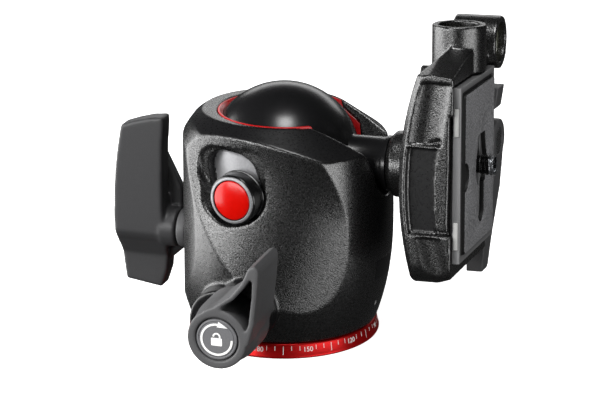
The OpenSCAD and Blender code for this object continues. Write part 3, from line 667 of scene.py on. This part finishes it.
class HEAD_OT_base(Operator):
    """Scale ring with its ticks and numbers, base plate and threaded insert"""
    bl_idname = "head.base"
    bl_label = "Scale ring and base"

    def execute(self, context):
        ring = lathe("scale_ring_turned", [
            (24, 0), (29.45, 0), (29.8, 0.12), (29.97, 0.4), (29.98, 0.62), (29.86, 1.0), RING_FOOT,
            RING_TOP, (29.06, 4.42), (28.82, 4.62), (28.5, 4.69), (20, 4.69), (20, 3.7), (24, 3.7),
            (24, 0)], sharp=40, steps=180)
        wear(ring, "base", "red_ring", made("ring"), "scale_ring")
        self.print_scale(context.scene.head_sizes)
        dress(base_plate="moulding", thread_insert="steel", pan_washer="polymer", keeper_disc="steel",
              keeper_screws="steel")
        return {"FINISHED"}

    def flank(self, angle, height):
        """The place of a print on the ring's flank: X along the rim, Y up the flank, Z outwards."""
        (foot, low), (top, high) = RING_FOOT, RING_TOP
        lean = math.atan2(foot - top, high - low)
        radius = (foot - (foot - top) * (height - low) / (high - low)) * MM
        out = Matrix.Rotation(angle - math.pi / 2, 4, "Z") @ Matrix.Translation((radius, 0, height * MM))
        upright = Matrix(((0, 0, 1, 0), (1, 0, 0, 0), (0, 1, 0, 0), (0, 0, 0, 1)))
        return out @ Matrix.Rotation(-lean, 4, "Y") @ upright

    def print_scale(self, sizes):
        every, long_every, number_every = 5, 15, 30
        # heights of the ticks' upper ends and of the numbers' middles
        tick_top, number_middle = 3.95, 2.75
        # the part of the font's size that its digits are tall
        digit = 0.7
        sunk = -2.5 * sizes.ink_height
        prints = []
        for long_, tall in ((False, sizes.tick_short), (True, sizes.tick_long)):
            tick = flat_patch(sizes.tick_width, tall, (0, 0, sizes.ink_height))
            edit(tick)
            bpy.ops.mesh.extrude_region_move(TRANSFORM_OT_translate={"value": (0, 0, sunk)})
            outward()
            done()
            for degrees in range(0, 360, every):
                if degrees % number_every == 0 or (degrees % long_every == 0) != long_:
                    continue
                copy = twin(tick, "tick")
                angle = math.radians(180 - degrees) + sizes.scale_turn
                place(copy, self.flank(angle, tick_top - tall / MM / 2))
                prints.append(copy)
            bpy.data.objects.remove(tick)
        for number in range(0, 360, number_every):
            bpy.ops.object.text_add(location=(0, 0, 0))
            text = bpy.context.object
            text.data.body = str(number)
            text.data.size = sizes.digit_height / digit
            text.data.align_x, text.data.align_y = "CENTER", "CENTER"
            text.data.offset = 0.02 * MM
            text.data.extrude = sizes.ink_height
            text.data.resolution_u = 4
            bpy.ops.object.convert(target="MESH")
            place(text, self.flank(math.radians(180 - number) + sizes.scale_turn, number_middle))
            prints.append(text)
        scale = join(prints, "scale_print")
        wear(scale, "base", "red_ring", made("ink"))


class HEAD_OT_housing(Operator):
    """Cast barrel housing with its red collar, bare label and index mark"""
    bl_idname = "head.housing"
    bl_label = "Housing"

    def execute(self, context):
        sizes = context.scene.head_sizes
        body = cast("housing", "housing_casting", sizes.casting_grid, passes=5, cutters=self.pocket())
        wear(body, "housing_body", "housing_paint", made("paint"), "housing")
        # black satin: thin paint on the top bevel, and painted shade in the friction pocket and on the
        # lever's seat
        finish_where(body, "satin", self.thinly_painted)
        # painted light: the pocket's back wall is made light grey as if lit
        finish_where(body, "bare", self.left_bare)
        collar = broken_edges("ball_collar", "ball_collar_moulding", 0.2 * MM)
        wear(collar, "housing_body", "red_plastic", made("collar"), "ball_collar")
        self.on_barrel(body, "index_mark", "ink", bearing=82, height=10.4, wide=0.5, tall=1.9, thick=0.03)
        self.on_barrel(body, "bare_label", "label", bearing=87, height=23.6, wide=16.5, tall=6.6,
                       thick=0.08)
        dress(ball_seat="polymer", pressure_cup="steel", disc_springs="steel", lock_pusher="brass")
        return {"FINISHED"}

    def pulled_tight(self, *lobes):
        """A solid pulled tight over circles in the friction knob's frame, each (side, up, depth, radius) in
        millimetres."""
        circles = []
        for side, up, depth, radius in lobes:
            bpy.ops.mesh.primitive_circle_add(vertices=64, radius=radius * MM,
                                              location=(side * MM, up * MM, depth * MM))
            circles.append(bpy.context.object)
        solid = join(circles, "cutter")
        bpy.ops.object.transform_apply(location=True, rotation=True, scale=True)
        edit(solid)
        bpy.ops.mesh.convex_hull()
        outward()
        done()
        return place(solid, FRICTION_PLACE)

    def pocket(self):
        """Two cutters for the friction pocket: its bevelled rim, and a hole down to the round back wall."""
        rim = ((-9.4, 8.8, 29.6, 6.1), (-8.8, 5.0, 30.2, 6.1), (-6.8, 2.0, 30.8, 6.4),
               (-1.4, 0, 31.4, 8.8), (2.6, 9.2, 27.2, 5.6), (5.0, 8.3, 26.7, 5.2))
        mouth = ((-6.3, 7.6, 27.2, 5.4), (-5.8, 4.6, 27.7, 5.4), (-4.6, 2.0, 28.2, 5.9),
                 (-1.2, 0, 28.6, 8.2), (-2.0, 8.0, 26.3, 4.8), (0.6, 7.4, 25.6, 3.9))
        # the bevel's cutter goes on past the rim, by this part of the way from the mouth to the rim
        flare, hole_depth = 0.8, 18
        outside = [[r + (r - m) * flare for r, m in zip(*lobe)] for lobe in zip(rim, mouth)]
        bevel = self.pulled_tight(*mouth, *outside)
        hole = self.pulled_tight(*mouth, *[(side, up, hole_depth, radius) for side, up, _, radius in mouth])
        bpy.ops.mesh.primitive_cylinder_add(vertices=180, radius=POCKET_WALL * MM, depth=0.1,
                                            location=(0, 0, FRICTION_HEIGHT * MM))
        wall = bpy.context.object
        shape(hole, "BOOLEAN", operation="DIFFERENCE", object=wall, solver="EXACT")
        bpy.data.objects.remove(wall)
        return bevel, hole

    def in_pocket(self, face):
        """Whether a face is in the box round the friction pocket, in the friction knob's frame."""
        return within(TO_FRICTION @ face.center / MM, (-11.6, -8, 20), (5.6, 13.6, 28.6))

    def left_bare(self, face):
        """Whether a face is on the friction pocket's back wall, which is painted light grey as if lit."""
        at = face.center / MM
        return self.in_pocket(face) and math.hypot(at.x, at.y) < POCKET_WALL + 0.4

    def thinly_painted(self, face):
        """Whether a face is black satin: thin paint on the top bevel, painted shade in the friction pocket
        and on the pan lever's seat.
        """
        at = face.center / MM
        # the bevel is part of a cone; a face is on it if it is near it and neither flat nor upright
        x, y, top_radius, fall, near, lowest = -2.8, 0.5, 22.6, 0.7, 0.7, 58
        off = top_radius + (HOUSING_TOP - at.z) / fall - math.hypot(at.x - x, at.y - y)
        on_bevel = at.z > lowest and abs(off) < near and 0.3 < face.normal.z < 0.97
        outwards = 0.3
        # painted shade: the pocket's faces that don't face outwards are made black
        in_pocket = self.in_pocket(face) and face.normal.dot(FRICTION_DIRECTION) < outwards
        # painted shade: the lever's seat is made black round its screw and under its thumb tab, with the
        # sides of the boss behind
        seats, radius, front, back, forwards = (LEVER_AT, (-7.9, 13.2)), 11, -33.5, -20, -0.85
        by_lever = min(math.hypot(at.x - side, at.z - up) for side, up in seats) < radius
        on_seat = by_lever and (at.y < front or at.y < back and face.normal.y > forwards)
        return on_bevel or in_pocket or on_seat

    def on_barrel(self, body, name, finish, bearing, height, wide, tall, thick):
        """A thin patch laid on the barrel, in degrees and millimetres."""
        bpy.ops.mesh.primitive_grid_add(x_subdivisions=24, y_subdivisions=12, size=1)
        patch = bpy.context.object
        patch.name = patch.data.name = name
        patch.scale = (wide * MM, tall * MM, 1)
        bpy.ops.object.transform_apply(location=False, rotation=False, scale=True)
        a = math.radians(bearing - 90)
        out = Vector((math.cos(a), math.sin(a), 0))
        side, up = Vector((-math.sin(a), math.cos(a), 0)), Vector((0, 0, 1))
        axes = Matrix((side, up, out)).transposed().to_4x4()
        outside = 40
        place(patch, Matrix.Translation(out * outside * MM + up * height * MM) @ axes)
        shape(patch, "SHRINKWRAP", target=body, wrap_method="NEAREST_SURFACEPOINT", offset=thick * MM)
        shape(patch, "SOLIDIFY", thickness=thick * 1.5 * MM, offset=-1)
        smooth(patch, 40)
        wear(patch, "housing_body", "housing_paint", made(finish))


class HEAD_OT_lock_knob(Operator):
    """Winged ball-lock knob, its plug and the bush it turns in"""
    bl_idname = "head.lock_knob"
    bl_label = "Ball-lock knob"

    def execute(self, context):
        grid = context.scene.head_sizes.moulding_grid
        knob = cast("lock_knob", "lock_knob_moulding", grid, passes=22)
        wear(knob, "lock_handle", "dark_plastic", made("dark_moulding"), "lock_knob")
        bush = broken_edges("lock_bush", "lock_bush_turned", 0.25 * MM)
        wear(bush, "housing_body", "dark_plastic", made("moulding"), "lock_bush")
        dress(knob_plug="moulding", lock_screw="steel")
        return {"FINISHED"}


class HEAD_OT_friction_knob(Operator):
    """Friction knob with its bright rim and domed red cap"""
    bl_idname = "head.friction_knob"
    bl_label = "Friction knob"

    def execute(self, context):
        knob = lathe("friction_knob_moulding", [
            (0, 25.2), (3, 25.2), (3, 26.9), (7.7, 26.9), (8.0, 27.0), (8.08, 27.2), (7.98, 27.4),
            (7.7, 27.5), (7.74, 31.6), (7.7, 31.9), (7.4, 32.2), (7.1, 32.3), (6.3, 32.3), (6.3, 31.0),
            (0, 31.0)],
            FRICTION_PLACE, sharp=40)
        wear(knob, "friction_dial", "dark_plastic", made("gloss"), "friction_knob")
        rim = lathe("friction_knob_rim", [
            (6.34, 32.2), (6.34, 32.56), (6.46, 32.66), (6.8, 32.64), (7.1, 32.52), (7.24, 32.3),
            (7.24, 32.1), (6.34, 32.2)], FRICTION_PLACE, sharp=30)
        wear(rim, "friction_dial", "dark_plastic", made("rim"))
        cap = lathe("friction_cap_domed", [
            (0, 31.05), (6.05, 31.05), (6.08, 32.1), *arc((5.66, 32.1), 0.43, 15, 70, 4), (4.9, 32.72),
            (3.8, 32.98), (2.5, 33.17), (1.2, 33.27), (0, 33.29)], FRICTION_PLACE, sharp=50)
        wear(cap, "friction_dial", "red_plastic", made("red"), "friction_cap")
        dress(friction_pin="brass")
        return {"FINISHED"}


class HEAD_OT_pan_lever(Operator):
    """Pan-lock lever, its disc and the round arrow printed on it"""
    bl_idname = "head.pan_lever"
    bl_label = "Pan-lock lever"

    def execute(self, context):
        lever = cast("pan_lever", "pan_lever_moulding", 0.32 * MM, passes=7)
        wear(lever, "lever", "dark_plastic", made("moulding"), "pan_lever")
        disc = lathe("lever_disc_moulding", [
            (0, 57.5), (4.8, 57.5), (4.8, 58.2), (6.05, 58.2), (6.28, 58.35), (6.28, 59.05), (6.1, 59.24),
            (5.8, LEVER_FACE), (5.62, 59.1), (5.4, 59.1), (5.28, 59.26), (0, LEVER_FACE)],
            LEVER_PLACE, sharp=30)
        wear(disc, "lever", "dark_plastic", made("disc"), "lever_disc")
        self.print_arrow(context.scene.head_sizes)
        dress(lever_screw="steel", pan_brake="brass")
        return {"FINISHED"}

    def print_arrow(self, sizes):
        radius, line, level = sizes.arrow_radius, sizes.arrow_width, LEVER_FACE * MM + sizes.ink_height
        # one square, spun into the round line
        bar = flat_patch(line, line, (0, radius, level))
        edit(bar, "EDGE")
        pick_edges(bar, lambda e: all(v.co.x > 0 for v in e.verts))
        bpy.ops.mesh.spin(steps=40, angle=math.radians(-276), center=(0, 0, level), axis=(0, 0, 1))
        weld()
        done()
        # the arrow's head, a long three-sided face that carries the line on clockwise
        bpy.ops.mesh.primitive_circle_add(vertices=3, radius=1, fill_type="NGON")
        tip = bpy.context.object
        tip.scale = (line * 1.75, line * 3.4, 1)
        bpy.ops.object.transform_apply(location=True, rotation=True, scale=True)
        lead = math.radians(17)
        place(tip, Matrix.Translation((radius * math.sin(lead), radius * math.cos(lead), level))
              @ Matrix.Rotation(math.radians(-90) - lead, 4, "Z"))
        # a closed padlock: a block with rounded corners and a bow over it
        lock = flat_patch(3.4 * MM, 2.4 * MM, (0, -0.7 * MM, level))
        edit(lock)
        bpy.ops.mesh.bevel(offset=0.25 * MM, segments=2, affect="VERTICES")
        done()
        bow_line, bow_radius, bow_foot = 0.5 * MM, 1.0 * MM, 0.65 * MM
        bow = flat_patch(bow_line, bow_line, (bow_radius, bow_foot, level))
        edit(bow, "EDGE")
        pick_edges(bow, lambda e: all(v.co.y > bow_foot for v in e.verts))
        bpy.ops.mesh.spin(steps=14, angle=math.radians(-180), center=(0, bow_foot + bow_line / 2, level),
                          axis=(0, 0, 1))
        weld()
        done()
        mark = join([bar, tip, lock, bow], "lever_arrow_print")
        edit(mark)
        outward()
        done()
        shape(mark, "SOLIDIFY", thickness=0.06 * MM, offset=0)
        place(mark, LEVER_PLACE)
        wear(mark, "lever", "dark_plastic", made("ink"))


class HEAD_OT_ball(Operator):
    """Ball and stem, turned in one piece with its flange and pin"""
    bl_idname = "head.ball"
    bl_label = "Ball and stem"

    def execute(self, context):
        # the round of the ball stops 3 degrees short of the stem, and a small fillet joins them
        neck = math.degrees(math.asin(STEM_RADIUS / BALL_RADIUS)) + 3
        outline = arc((0, 0), BALL_RADIUS, -90, 90 - neck, 60)
        _, top = outline[-1]
        outline += [
            (8.35, top + 0.55), (STEM_RADIUS, top + 1.2), (STEM_RADIUS, 32.7), (8.2, 33.05), (8.42, 33.15),
            (8.5, 33.35), (8.5, 34.4), (8.3, 34.6), (5, 34.6), (5, 41.6), (2.5, 41.6), (2.5, 27.6),
            (0, 27.6)]
        ball = lathe("ball_and_stem_turned", outline, LYING @ ALONG_X, sharp=28, steps=128)
        wear(ball, "ball_body", "ball_coat", made("ball"), "ball")
        return {"FINISHED"}


class HEAD_OT_adaptor(Operator):
    """Cast quick-release adaptor"""
    bl_idname = "head.adaptor"
    bl_label = "Adaptor"

    def execute(self, context):
        body = cast("adaptor", "adaptor_casting", 0.4 * MM, passes=3)
        wear(body, "adaptor_body", "housing_paint", made("paint"), "adaptor")
        finish_where(body, "satin", self.in_panel)
        dress(adaptor_screw="black_steel")
        return {"FINISHED"}

    def in_panel(self, face):
        """Whether a face is in the near side's deep middle panel and faces the front; it is coloured black
        satin, darker than the paint round it.
        """
        at = TO_ADAPTOR @ face.center / MM
        return face.normal.y < -0.8 and within(at, (0, -21.6, -15.6), (55, -19.8, 9.6))


class HEAD_OT_levels(Operator):
    """Round level and tube level with their vials and bubbles"""
    bl_idname = "head.levels"
    bl_label = "Levels"

    def execute(self, context):
        self.vial("round_level", 6.2, 2.45, Matrix.Identity(4))
        self.vial("tube_level", 6.1, 5.45, ALONG_X)
        return {"FINISHED"}

    def vial(self, node, radius, half, lie):
        """A clear vial with a domed window, its ring mark and its bubble, in the place of its CAD node."""
        low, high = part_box(node)
        middle = TO_ADAPTOR @ ((Vector(low) + Vector(high)) / 2)
        there = LYING @ Matrix.Translation(middle) @ lie
        body = lathe(node + "_vial", [
            (0, -half), (radius - 0.3, -half), (radius, -half + 0.3), (radius, half - 1.2),
            (radius - 0.25, half - 0.9), (radius - 0.9, half - 0.8), (radius - 1.1, half - 0.5),
            (radius * 0.5, half - 0.2), (0, half - 0.1)], there, sharp=30, steps=64)
        wear(body, "adaptor_body", "level_glass", made("vial"), node)
        mark = lathe(node + "_ring_mark", [
            (2.2, half - 0.2), (2.2, half - 0.1), (2.6, half - 0.12), (2.6, half - 0.26),
            (2.2, half - 0.2)], there, sharp=30, steps=48)
        wear(mark, "adaptor_body", "level_glass", made("label"))
        off_centre = Matrix.Translation((0.9 * MM, 0.6 * MM, 0))
        bubble = lathe(node + "_bubble", [
            (0, half - 0.3), (1.5, half - 0.3), (1.35, half - 0.1), (0.8, half - 0.02), (0, half)],
            there @ off_centre, sharp=60, steps=32)
        wear(bubble, "adaptor_body", "level_glass", made("bubble"))


class HEAD_OT_release_lever(Operator):
    """Quick-release lever, its pivot screw and spring, and the safety catch"""
    bl_idname = "head.release_lever"
    bl_label = "Release lever and catch"

    def execute(self, context):
        lever = cast("qr_lever", "release_lever_moulding", 0.3 * MM, passes=5)
        wear(lever, "release_lever", "dark_plastic", made("moulding"), "qr_lever")
        catch = broken_edges("safety_catch", "safety_catch_cast", 0.4 * MM, segments=3)
        wear(catch, "catch", "black_steel", made("moulding"), "safety_catch")
        dress(qr_pivot="black_steel", qr_spring="steel")
        return {"FINISHED"}


class HEAD_OT_camera_plate(Operator):
    """Camera plate with its rubber pad, pale side pads and threaded camera screw"""
    bl_idname = "head.camera_plate"
    bl_label = "Camera plate"

    def execute(self, context):
        plate = broken_edges("camera_plate", "camera_plate_cast", 0.3 * MM, segments=3)
        wear(plate, "adaptor_body", "plate_metal", made("plate"), "camera_plate")
        pad = broken_edges("plate_pad", "plate_pad_moulded", 0.15 * MM)
        wear(pad, "adaptor_body", "pad_rubber", made("black_rubber"), "plate_pad")
        # the pad's top is grey; its sides keep the black of the painted shade
        finish_where(pad, "pad", lambda face: (TO_ADAPTOR @ face.center).x > 61.7 * MM)
        ends = broken_edges("end_pads", "side_pads_moulded", 0.3 * MM, segments=3)
        wear(ends, "adaptor_body", "pale_plastic", made("pale"), "end_pads")
        self.screw(context.scene.head_sizes)
        dress(screw_ring="steel")
        return {"FINISHED"}

    def screw(self, sizes):
        """The camera screw: a turned head and neck, and a helical thread cut off square at both ends."""
        low, high, outer = 61.9 * MM, 66.15 * MM, 3.17 * MM
        pitch, depth = sizes.thread_pitch, sizes.thread_depth
        # the thread starts two turns early, so that both of its ends are cut
        thread = first_point("camera_screw_thread", outer - depth, low - 2 * pitch)
        for out, up in ((0, 0.12), (1, 0.33), (0, 0.12), (-1, 0.33), (0, 0.10)):
            step = (out * depth, 0, up * pitch)
            bpy.ops.mesh.extrude_vertices_move(TRANSFORM_OT_translate={"value": step})
        done()
        shape(thread, "SCREW", angle=2 * math.pi, screw_offset=pitch, iterations=8, steps=40,
              render_steps=40, use_merge_vertices=True, merge_threshold=SAME_POINT,
              use_normal_calculate=True)
        edit(thread)
        weld()
        for height, above in ((low, False), (high, True)):
            bpy.ops.mesh.select_all(action="SELECT")
            bpy.ops.mesh.bisect(plane_co=(0, 0, height), plane_no=(0, 0, 1), use_fill=True,
                                clear_outer=above, clear_inner=not above)
        outward()
        done()
        head = lathe("screw_head", [
            (0, 53.8), (7.8, 53.8), (8.1, 54.1), (8.1, 54.9), (7.8, 55.2), (2.7, 55.2), (2.7, 61.5),
            (2.95, 61.7), (2.95, 61.95), (0, 61.95)], sharp=28, steps=64)
        screw = join([thread, head], "camera_screw_threaded")
        smooth(screw, 28)
        place(screw, LYING @ Matrix.Translation([a * MM for a in CAMERA_SCREW_AT]) @ ALONG_X)
        wear(screw, "mount_screw", "black_steel", made("black_steel"), "camera_screw")
        # painted highlight: the screw's tip is made bright steel
        finish_where(screw, "steel", lambda face: (TO_ADAPTOR @ face.center).x > 64.6 * MM)


class HEAD_OT_stage(Operator):
    """Pale floor, soft studio lights and the camera"""
    bl_idname = "head.stage"
    bl_label = "Stage"

    def execute(self, context):
        white = (1, 1, 1, 1)
        bpy.ops.mesh.primitive_plane_add(size=12, location=(0, 0, 0))
        floor = bpy.context.object
        floor.name = "floor"
        paper, _, _ = surface("paper_backdrop_white", (0.9, 0.9, 0.9), 0.9, Emission_Color=white,
                              Emission_Strength=0.9)
        floor.data.materials.append(paper)
        floor.visible_glossy = floor.visible_diffuse = floor.visible_shadow = False
        world = bpy.data.worlds.new("studio")
        context.scene.world = world
        world.use_nodes = True
        background = world.node_tree.nodes["Background"]
        background.inputs["Color"].default_value = white
        background.inputs["Strength"].default_value = 0.04
        # soft boxes round the object's middle: bearing and lift in degrees, distance, width and height in
        # metres, and power; the fill lights what is matt and doesn't show in what is glossy
        middle = Vector((0, 0, 0.045))
        for name, bearing, lift, away, wide, tall, watts in (
                ("left_soft_box", -82, 2, 0.9, 0.94, 0.88, 14),
                ("left_front_strip", -28, 11, 0.9, 0.62, 0.22, 4.6),
                ("right_soft_box", 63, -4, 0.9, 0.84, 0.42, 4.4),
                ("top_soft_box", 21, 68, 0.8, 0.24, 0.24, 3.4),
                ("front_fill", -50, 30, 1.1, 0.7, 0.7, 13),
                ("back_soft_box", 190, 18, 1.2, 1.2, 0.3, 2.4)):
            a, e = math.radians(bearing), math.radians(lift)
            way = Vector((math.sin(a) * math.cos(e), -math.cos(a) * math.cos(e), math.sin(e)))
            bpy.ops.object.light_add(type="AREA", location=way * away + middle)
            lamp = context.object
            lamp.name = name
            lamp.rotation_euler = way.to_track_quat("Z", "Y").to_euler()
            lamp.data.shape = "RECTANGLE"
            lamp.data.size, lamp.data.size_y, lamp.data.energy = wide, tall, watts
            lamp.visible_glossy = name != "front_fill"
        eye, turned = (0.2270, -0.6890, 0.2818), (71.661, -0.154, 17.903)
        bpy.ops.object.camera_add(location=eye, rotation=[math.radians(a) for a in turned])
        camera = context.object
        camera.data.sensor_width = 36
        camera.data.lens = 147.16
        camera.data.clip_start, camera.data.clip_end = 0.01, 30
        context.scene.camera = camera
        context.scene.view_settings.view_transform = "Standard"
        return {"FINISHED"}


class HEAD_PT_panel(Panel):
    bl_label = "Ball head"
    bl_idname = "HEAD_PT_panel"
    bl_space_type = "VIEW_3D"
    bl_region_type = "UI"
    bl_category = "Ball head"

    def draw(self, context):
        for group in (context.scene.head_sizes, context.scene.head_colours):
            for name in group.__annotations__:
                self.layout.prop(group, name)
        for operator in PIECES:
            self.layout.operator(operator.bl_idname)


PIECES = (HEAD_OT_stage, HEAD_OT_base, HEAD_OT_housing, HEAD_OT_lock_knob, HEAD_OT_friction_knob,
          HEAD_OT_pan_lever, HEAD_OT_ball, HEAD_OT_adaptor, HEAD_OT_levels, HEAD_OT_release_lever,
          HEAD_OT_camera_plate)
CLASSES = (HeadSizes, HeadColours, *PIECES, HEAD_PT_panel)


def register():
    for kind in CLASSES:
        bpy.utils.register_class(kind)
    bpy.types.Scene.head_sizes = PointerProperty(type=HeadSizes)
    bpy.types.Scene.head_colours = PointerProperty(type=HeadColours)


def unregister():
    del bpy.types.Scene.head_sizes, bpy.types.Scene.head_colours
    for kind in reversed(CLASSES):
        bpy.utils.unregister_class(kind)


def main():
    register()
    for operator in PIECES:
        area, name = operator.bl_idname.split(".")
        getattr(getattr(bpy.ops, area), name)()


if __name__ == "__main__":
    main()
